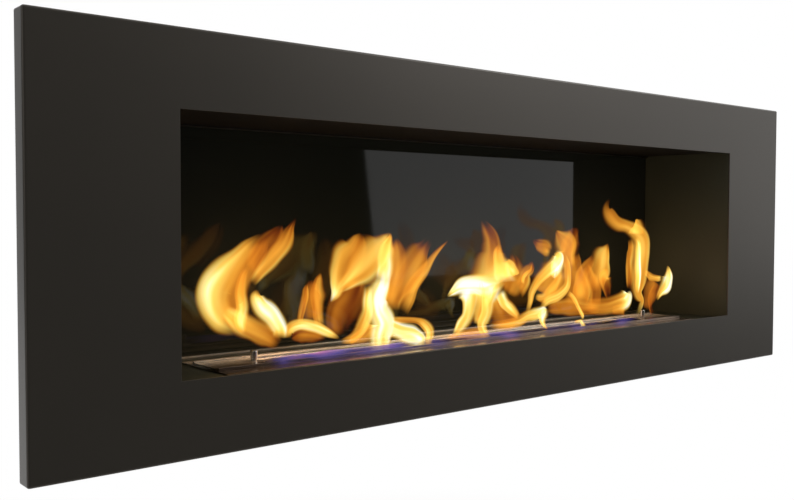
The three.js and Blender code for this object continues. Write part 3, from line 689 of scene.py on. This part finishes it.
def fire(name, shades, density, rim_heat):
    """Glowing see-through sheets. fire_shape holds heat, place along, place across and a seed."""
    made, tree = new_material(name)
    shape = add_node(tree, "Attribute", attribute_name="fire_shape")
    parts = add_node(tree, "SeparateColor", {0: shape.outputs["Color"]})
    heat, along, across = parts.outputs
    centred = add_node(tree, "MapRange", {"Value": across, "To Min": -1.0, "To Max": 1.0})
    side = add_node(tree, "Math", {0: centred}, operation="ABSOLUTE")
    seed = add_node(tree, "Math", {0: shape.outputs["Alpha"], 1: 37.0}, operation="MULTIPLY")
    drawn = add_node(tree, "CombineXYZ", {0: centred, 1: along, 2: seed})
    drawn = add_node(tree, "Mapping", {"Vector": drawn, "Scale": (1.3, 0.9, 1.0)})
    streak = add_node(tree, "TexNoise", {"Vector": drawn, "Scale": 1.1, "Detail": 1.0, "Distortion": 0.3})
    streak = add_node(tree, "MapRange", {"Value": streak, "From Min": 0.3, "From Max": 0.7,
                                         "To Min": -0.5, "To Max": 0.5})
    rim = add_node(tree, "MapRange", {"Value": side, "From Min": 0.35, "From Max": 0.72}, **SOFTLY)
    ragged = add_node(tree, "Math", {0: streak, 1: 0.16, 2: side}, operation="MULTIPLY_ADD")
    edge = add_node(tree, "MapRange", {"Value": ragged, "From Min": 1.0, "From Max": 0.16}, **SOFTLY)
    root = add_node(tree, "MapRange", {"Value": along, "From Min": 0.0, "From Max": 0.16}, **SOFTLY)
    tip = add_node(tree, "MapRange", {"Value": along, "From Min": 1.0, "From Max": 0.8}, **SOFTLY)
    hot = add_node(tree, "Math", {0: rim, 1: rim_heat, 2: heat}, operation="MULTIPLY_ADD")
    hot = add_node(tree, "Math", {0: streak, 1: 0.3, 2: hot}, operation="MULTIPLY_ADD")
    cool = add_node(tree, "MapRange", {"Value": ragged, "From Min": 0.45, "From Max": 1.0,
                                       "To Min": 0.0, "To Max": -0.5}, **SOFTLY)
    hot = add_node(tree, "Math", {0: hot, 1: cool})
    shade = add_node(tree, "ValToRGB", {0: hot}, stops=shades)
    thick = add_node(tree, "MapRange", {"Value": hot, "From Min": 0.0, "From Max": 0.95,
                                        "To Min": 0.05, "To Max": density})
    for fade in (edge, root, tip):
        thick = add_node(tree, "Math", {0: thick, 1: fade}, operation="MULTIPLY", use_clamp=True)
    clear = add_node(tree, "BsdfTransparent")
    glow = add_node(tree, "Emission", {"Color": shade, "Strength": 2.1})
    surface(tree, "MixShader", {0: thick, 1: clear, 2: glow})
    return made


# Glowing soot runs from red brown where it is thin and cool to cream where it is thick and hot. The
# roots hold no soot, so they are dark blue and violet, and pink where they are rich.
orange_fire = fire("burning_ethanol", [
    (0.0, "521608"), (0.2, "aa4a10"), (0.42, "dc8422"), (0.62, "f0a638"), (0.8, "fbcc5c"),
    (0.92, "ffe694"), (1.0, "fff8d8")], density=0.7, rim_heat=0.12)
blue_fire = fire("ethanol_flame_root", [
    (0.0, "1a1628"), (0.35, "302a58"), (0.6, "483f7c"), (0.8, "6e4c7c"), (1.0, "a85c7c")],
    density=0.66, rim_heat=0.0)

# The glow that the fire throws on the liner: three small warm lamps among the flames, never mirrored.
for place in ((-0.3, -0.105, -0.07), (0.0, -0.1, -0.06), (0.33, -0.1, -0.05)):
    fire_glow = lamp("fire_glow", "POINT", 0.55, color=colour("ffca92")[:3], shadow_soft_size=0.03)
    fire_glow.location = place
    fire_glow.visible_glossy = False

# Each sheet of a flame has its depth behind the surround's face, a lean from -1 to 1 towards its hotter
# side, and a middle line of (X, Z, half width, heat). Lengths are in millimetres, and heat in hundredths.
FLAMES = {}
FLAMES["flame_left"] = {
    "outer": (72, -0.9, [(-358, -94, 4, 60), (-376, -80, 11, 72), (-386, -64, 14, 80), (-386, -46, 15, 82),
        (-372, -30, 13, 72), (-356, -16, 9, 62), (-342, -4, 7, 50), (-330, 8, 2, 30)]),
    "body": (82, 0, [(-348, -96, 6, 35), (-360, -76, 11, 40), (-360, -56, 13, 42), (-352, -36, 11, 42),
        (-336, -20, 10, 40), (-324, -6, 7, 30), (-320, 6, 2, 15)]),
    "inner": (76, 0.3, [(-350, -98, 2, 70), (-354, -84, 6, 85), (-352, -70, 6, 75), (-354, -54, 6, 60),
        (-350, -36, 4, 50), (-344, -26, 2, 40)]),
    "tongue": (70, 0.7, [(-346, -44, 4, 60), (-336, -32, 6, 65), (-320, -18, 8, 62), (-308, -6, 8, 60),
        (-300, 6, 7, 50), (-294, 16, 3, 35), (-288, 26, 1, 15)]),
    "veil": (86, 0, [(-334, -34, 7, 30), (-324, -18, 10, 35), (-310, -2, 11, 35), (-300, 10, 7, 25),
        (-296, 18, 1, 10)]),
    "lick": (66, 0, [(-314, -104, 8, 70), (-314, -92, 8, 95), (-324, -78, 9, 100), (-336, -68, 8, 98),
        (-342, -58, 6, 90), (-340, -50, 1, 60)]),
    "foot": (70, 0.4, [(-376, -70, 5, 80), (-360, -82, 9, 75), (-342, -92, 10, 60), (-322, -102, 9, 50),
        (-308, -112, 5, 35)]),
    "low_arch": (74, 0.3, [(-298, -106, 3, 60), (-296, -96, 5, 80), (-280, -92, 5, 90), (-262, -96, 5, 85),
        (-244, -104, 4, 80), (-228, -112, 1, 60)]),
    "low_veil": (80, 0, [(-288, -108, 2, 20), (-276, -104, 8, 35), (-258, -106, 7, 35), (-240, -110, 3, 20)]),
}
FLAMES["flame_arch"] = {
    "post_1": (80, 0, [(-278, -92, 3, 45), (-274, -74, 4, 50), (-270, -58, 4, 50), (-268, -48, 1, 35)]),
    "post_2": (80, 0.3, [(-248, -98, 5, 65), (-252, -80, 6, 55), (-254, -62, 8, 50), (-252, -46, 5, 45),
        (-250, -36, 1, 30)]),
    "post_veil": (84, 0, [(-260, -90, 9, 25), (-260, -72, 11, 35), (-258, -56, 9, 35), (-258, -44, 3, 20)]),
    "canopy_left": (74, -0.4, [(-240, -70, 1, 90), (-232, -60, 6, 90), (-228, -48, 10, 80),
        (-222, -36, 15, 70), (-212, -22, 19, 66), (-202, -10, 14, 60), (-198, 2, 8, 50), (-196, 8, 1, 35)]),
    "canopy_mid": (78, 0.4, [(-228, -58, 3, 80), (-210, -46, 9, 78), (-194, -34, 17, 72), (-180, -20, 19, 70),
        (-166, -10, 14, 72), (-156, 0, 7, 70), (-150, 8, 1, 50)]),
    "canopy_right": (70, 0.3, [(-166, -48, 10, 95), (-162, -34, 10, 90), (-162, -20, 10, 85),
        (-160, -8, 8, 80), (-156, 2, 3, 65), (-156, 8, 1, 50)]),
    "column": (68, 0, [(-174, -132, 10, 80), (-174, -114, 13, 98), (-170, -98, 14, 100), (-178, -82, 12, 98),
        (-178, -68, 12, 98), (-170, -54, 10, 97), (-166, -36, 8, 95)]),
    "ring_veil": (86, -0.3, [(-214, -112, 10, 22), (-216, -98, 15, 25), (-210, -82, 20, 28),
        (-198, -68, 20, 30), (-190, -56, 12, 30), (-186, -48, 3, 25)]),
    "ring": (72, 0.2, [(-228, -116, 2, 60), (-210, -112, 5, 65), (-198, -100, 7, 75), (-190, -84, 7, 80),
        (-190, -68, 6, 85), (-190, -52, 5, 80)]),
    "foot": (76, 0.2, [(-212, -118, 3, 45), (-188, -110, 8, 55), (-176, -100, 10, 70)]),
    "right_wide": (82, 0.3, [(-144, -86, 9, 55), (-142, -72, 12, 50), (-134, -56, 16, 50),
        (-120, -40, 19, 52), (-104, -22, 16, 48), (-94, -12, 9, 30), (-84, 0, 5, 8)]),
    "right_near": (78, 0, [(-152, -80, 6, 65), (-148, -60, 11, 60), (-142, -40, 14, 55), (-138, -24, 14, 50),
        (-138, -10, 9, 40), (-140, 2, 2, 20)]),
    "streak": (72, 0.5, [(-138, -88, 7, 55), (-128, -70, 9, 60), (-116, -52, 8, 62), (-102, -38, 6, 60),
        (-88, -24, 4, 50), (-72, -10, 2, 30), (-62, -2, 1, 10)]),
    "knot_band": (64, 0, [(-162, -96, 4, 80), (-142, -96, 3, 60), (-120, -98, 3, 60), (-106, -104, 5, 75),
        (-98, -114, 6, 85), (-102, -126, 4, 80), (-104, -132, 1, 50)]),
    "knot": (66, 0, [(-164, -102, 8, 100), (-148, -108, 8, 100), (-130, -114, 10, 100), (-114, -122, 8, 95),
        (-112, -132, 4, 70)]),
}
FLAMES["flame_star"] = {
    "cap": (64, 0, [(-70, -72, 1, 85), (-58, -66, 5, 95), (-42, -60, 9, 100), (-20, -60, 10, 100),
        (0, -63, 10, 95), (20, -61, 8, 85), (36, -56, 2, 70)]),
    "tongue": (72, 0.3, [(12, -58, 34, 95), (12, -46, 30, 80), (10, -32, 22, 62), (12, -18, 16, 50),
        (10, -2, 13, 42), (2, 12, 8, 30), (-4, 24, 2, 10)]),
    "edge": (68, 0.2, [(40, -58, 12, 85), (34, -44, 14, 85), (28, -32, 10, 80), (24, -20, 7, 70),
        (28, -8, 2, 40)]),
    "shoulder": (70, 0, [(48, -52, 12, 75), (46, -40, 9, 80), (40, -30, 3, 75)]),
    "leg_left": (66, -0.3, [(-58, -122, 3, 65), (-44, -112, 7, 80), (-32, -100, 8, 85), (-26, -84, 11, 90),
        (-26, -72, 15, 97), (-30, -62, 17, 100)]),
    "leg_mid": (72, 0.2, [(-10, -112, 6, 70), (-8, -100, 8, 70), (-6, -86, 9, 75), (-2, -72, 14, 92),
        (-2, -62, 18, 98)]),
    "leg_right": (62, 0.3, [(8, -132, 1, 60), (-4, -122, 5, 75), (-10, -110, 8, 80), (-4, -96, 8, 85),
        (0, -80, 10, 90), (8, -68, 14, 95), (12, -58, 17, 95)]),
    "base": (68, 0, [(-68, -124, 2, 40), (-42, -122, 4, 50), (-16, -122, 6, 55), (4, -126, 3, 45)]),
    "skirt": (66, -0.5, [(64, -108, 3, 60), (50, -96, 6, 75), (34, -84, 7, 85), (26, -72, 8, 95)]),
    "skirt_veil": (80, 0, [(70, -116, 6, 30), (50, -106, 15, 40), (36, -92, 15, 45), (30, -78, 10, 50)]),
    "ember": (82, 0, [(60, -76, 12, 45), (68, -62, 19, 55), (72, -48, 17, 50), (70, -36, 10, 30),
        (64, -22, 3, 8)]),
    "ember_right": (84, 0.3, [(74, -74, 10, 40), (88, -62, 10, 60), (94, -50, 8, 60), (102, -42, 6, 40),
        (108, -34, 2, 12)]),
    "ember_line": (76, 0, [(80, -64, 3, 70), (84, -52, 3, 70), (94, -46, 2, 60), (98, -38, 1, 40)]),
}
FLAMES["flame_loop"] = {
    "low_hook": (64, 0, [(0, -112, 4, 45), (24, -114, 5, 50), (54, -112, 6, 60), (74, -106, 6, 75),
        (92, -104, 7, 90), (106, -100, 5, 100), (114, -100, 1, 100)]),
    "low_barb": (62, 0, [(114, -126, 1, 50), (108, -122, 2, 75), (104, -114, 5, 85), (104, -104, 8, 95),
        (102, -98, 3, 95)]),
    "left_rim": (70, 0, [(80, -104, 3, 70), (86, -88, 4, 75), (90, -74, 5, 75), (102, -60, 6, 70),
        (120, -48, 7, 80), (136, -38, 9, 98), (142, -28, 8, 95), (134, -22, 3, 70)]),
    "blob": (66, 0, [(132, -58, 3, 80), (138, -44, 10, 100), (140, -32, 9, 97), (134, -22, 3, 80)]),
    "bowl": (78, 0, [(112, -78, 13, 45), (118, -68, 17, 52), (134, -56, 18, 55), (146, -44, 12, 60)]),
    "bowl_rim": (74, 0, [(104, -82, 3, 50), (120, -84, 6, 55), (140, -76, 10, 55), (154, -62, 9, 60),
        (158, -44, 6, 60)]),
    "strand": (66, 0.2, [(104, -98, 3, 70), (118, -88, 5, 75), (138, -82, 6, 80), (154, -70, 6, 80),
        (158, -54, 6, 70), (156, -38, 6, 65), (148, -24, 4, 60)]),
    "curl": (74, 0, [(138, -22, 5, 60), (126, -16, 9, 50), (112, -12, 7, 40), (102, -8, 4, 20),
        (96, -4, 1, 10)]),
    "lobe_left": (72, -0.3, [(160, -42, 16, 55), (162, -26, 17, 60), (160, -14, 17, 62), (150, -4, 13, 60),
        (144, 4, 5, 50), (140, 8, 1, 30)]),
    "lobe_right": (80, 0.2, [(176, -30, 16, 45), (184, -14, 14, 40), (190, -2, 11, 35), (198, 6, 6, 20),
        (202, 8, 2, 8)]),
    "body": (84, 0.2, [(196, -100, 19, 50), (196, -80, 22, 55), (194, -62, 19, 52), (188, -42, 16, 50),
        (184, -28, 14, 50)]),
    "low_sheet": (82, 0, [(138, -102, 5, 35), (162, -100, 9, 45), (190, -102, 11, 45), (228, -106, 8, 45),
        (258, -108, 6, 45)]),
    "thread": (62, 0, [(154, -78, 3, 70), (166, -86, 3, 75), (178, -98, 3, 75), (184, -110, 3, 75),
        (188, -118, 2, 80)]),
    "thread_crook": (60, 0, [(168, -120, 1, 60), (182, -120, 2, 85), (188, -126, 3, 90), (190, -132, 2, 70)]),
}
FLAMES["flame_trio"] = {
    "left": (80, 0, [(230, -102, 15, 45), (230, -78, 14, 50), (222, -60, 11, 50), (212, -42, 7, 35)]),
    "strand": (84, 0, [(214, -94, 15, 45), (216, -74, 15, 50), (220, -56, 12, 50), (230, -42, 8, 45),
        (240, -30, 4, 35)]),
    "tongue": (74, 0.3, [(228, -82, 15, 45), (230, -62, 17, 60), (238, -46, 17, 75), (244, -32, 15, 80),
        (252, -22, 8, 70), (260, -12, 1, 40)]),
    "spur": (78, 0, [(270, -94, 4, 20), (264, -76, 9, 40), (260, -62, 11, 60), (270, -52, 2, 60)]),
}
FLAMES["flame_right"] = {
    "low_tongue": (72, -0.3, [(194, -94, 8, 40), (220, -102, 9, 45), (248, -104, 10, 50), (276, -100, 11, 65),
        (294, -98, 12, 95), (304, -90, 9, 100), (304, -84, 2, 100)]),
    "low_veil": (76, 0, [(274, -112, 5, 30), (300, -112, 7, 40), (310, -114, 7, 35)]),
    "column": (70, 0.2, [(324, -124, 2, 90), (334, -110, 4, 85), (338, -100, 4, 70), (328, -90, 8, 70),
        (325, -74, 15, 68), (326, -58, 17, 70), (328, -42, 17, 74), (330, -24, 17, 76), (328, -8, 17, 70),
        (318, 4, 12, 64), (296, 13, 8, 60), (274, 17, 9, 52), (258, 26, 10, 46), (249, 36, 8, 42),
        (251, 46, 4, 30), (260, 54, 1, 12)]),
    "spike": (74, 0, [(332, 0, 16, 75), (332, 12, 12, 70), (328, 20, 5, 60), (326, 24, 1, 50)]),
    "core": (64, 0, [(316, -88, 3, 80), (317, -72, 5, 90), (318, -54, 6, 95), (318, -32, 6, 90),
        (316, -14, 5, 80), (310, -4, 2, 70)]),
    "column_edge": (76, 0, [(314, -82, 4, 30), (316, -62, 8, 50), (318, -42, 8, 60), (320, -24, 7, 60),
        (316, -6, 5, 60)]),
    "hook": (68, 0, [(374, -102, 2, 60), (382, -90, 6, 80), (394, -80, 11, 95), (401, -69, 11, 95),
        (400, -58, 6, 85), (396, -48, 1, 70)]),
    "link": (70, 0, [(344, -56, 3, 60), (358, -64, 5, 60), (376, -68, 4, 65), (390, -68, 3, 80)]),
    "link_veil": (82, 0, [(362, -116, 7, 20), (368, -98, 14, 28), (374, -82, 17, 30), (378, -72, 11, 30)]),
    "wisp": (74, 0, [(372, -126, 4, 12), (368, -110, 4, 20), (370, -94, 6, 20), (378, -78, 4, 20)]),
}

def along_line(points, share):
    """The smooth line through points at share of its length, from 0 to 1."""
    reach = share * (len(points) - 1)
    i = min(int(reach), len(points) - 2)
    t = reach - i
    a, b, c, d = (Vector(points[min(max(i + k, 0), len(points) - 1)]) for k in (-1, 0, 1, 2))
    straight = 2 * b + (c - a) * t
    bend = (2 * a - 5 * b + 4 * c - d) * t * t
    return 0.5 * (straight + bend + (3 * b - a - 3 * c + d) * t ** 3)


SURROUND_FACE, LOWEST_FLAME = -0.17, -133
LEAST_HALF_WIDTH, SOFT_MARGIN, FLUTTER = 0.4, 1.58, 0.15
BOW, BELLY, WANDER = math.radians(60), 0.6, 3
STEPS_PER_POINT, STEPS_ACROSS = 10, 14


def flame_sheet(bm, mark, depth, lean, line, seed):
    """One curved sheet of fire along line, depth behind the surround's face, hotter on the side of lean."""
    sheet = bmesh.ops.create_grid(bm, x_segments=STEPS_PER_POINT * (len(line) - 1),
                                  y_segments=STEPS_ACROSS, size=1)["verts"]
    belly = BELLY if seed % 2 else -BELLY
    for vert in sheet:
        along = (vert.co.x + 1) / 2
        across = vert.co.y
        x, z, half, heat = along_line(line, along)
        ahead = along_line(line, min(along + 0.02, 1)) - along_line(line, max(along - 0.02, 0))
        run = Vector((ahead[0], ahead[1])).normalized()
        flutter = 1 + FLUTTER * noise.noise(Vector((along * 5, seed * 3.1, across)))
        half = max(half, LEAST_HALF_WIDTH) * SOFT_MARGIN * flutter
        reach = math.sin(across * BOW) / math.sin(BOW) * half
        sag = (math.cos(across * BOW) - math.cos(BOW)) * half * belly
        wander = WANDER * noise.noise(Vector((along * 3, seed * 1.7, 5)))
        vert[mark] = (0.0095 * heat + 0.22 * lean * across, along, (across + 1) / 2, (seed * 0.137) % 1)
        vert.co = ((x + run.y * reach) / 1000, SURROUND_FACE + (depth + sag + wander) / 1000,
                   max(z - run.x * reach, LOWEST_FLAME) / 1000)


# A closing damper shortens the fire at its end of the slot, to these X. The table pairs each end flame
# with its damper slide and that X, but the script reads only which flames it holds.
FLAMES_DRAWN_TO, ROOTS_DRAWN_TO = 0.262, 0.272
DRAWN_IN_TO = {"flame_left": ("damper_left_slide", -FLAMES_DRAWN_TO),
               "flame_right": ("damper_right_slide", FLAMES_DRAWN_TO),
               "flame_roots_left": ("damper_left_slide", -ROOTS_DRAWN_TO),
               "flame_roots_right": ("damper_right_slide", ROOTS_DRAWN_TO)}


def lit_over_slot(name, bm, fire):
    """A flame, which rides on the burner. One at an end of the slot gets a mesh of its own."""
    piece = new_piece(name, bm, fire)
    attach(piece, "burner")
    if name in DRAWN_IN_TO:
        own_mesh(piece)


seed = 0
for name, sheets in FLAMES.items():
    bm = bmesh.new()
    mark = bm.verts.layers.float_color.new("fire_shape")
    for depth, lean, line in sheets.values():
        seed += 1
        flame_sheet(bm, mark, depth, lean, line, seed)
    lit_over_slot(name, bm, orange_fire)

# The cooler blue and violet roots: the vapour is heavier than air, so it spills over the front rail in a
# low arch, strongest on the left, with pink patches where it is rich.
ROOT_MIDDLE, ROOT_REACH, ROOT_FOOT = -0.118, 0.01, -0.1283
ROOT_END, ROOT_FADE = 0.343, 0.02
ROOT_ARCH, ROOT_ARCH_WAVE = 0.0075, 0.0022
ROOT_RICHNESS, ROOT_PATCHES = 0.38, 0.7
STEPS_PER_METRE, STEPS_OVER = 400, 12
for name, start, end in (("left", -ROOT_END, -ROOTS_DRAWN_TO), ("middle", -ROOTS_DRAWN_TO, ROOTS_DRAWN_TO),
                         ("right", ROOTS_DRAWN_TO, ROOT_END)):
    bm = bmesh.new()
    mark = bm.verts.layers.float_color.new("fire_shape")
    strip = bmesh.ops.create_grid(bm, x_segments=round((end - start) * STEPS_PER_METRE),
                                  y_segments=STEPS_OVER, size=1)["verts"]
    for vert in strip:
        x = start + (end - start) * (vert.co.x + 1) / 2
        over = (vert.co.y + 1) / 2
        lap = ROOT_ARCH + ROOT_ARCH_WAVE * noise.noise(Vector((x * 30, 2.0, 0)))
        rich = ROOT_RICHNESS + ROOT_PATCHES * noise.noise(Vector((x * 22, 7.0, over))) - 0.5 * x
        fade = min((ROOT_END - abs(x)) / ROOT_FADE, 1)
        turn = math.pi * over
        vert[mark] = (rich * fade, 0.1 + 0.8 * over, 0.5, 0.3)
        vert.co = (x, ROOT_MIDDLE + ROOT_REACH * math.cos(turn), ROOT_FOOT + lap * math.sin(turn) ** 0.8)
    lit_over_slot(f"flame_roots_{name}", bm, blue_fire)
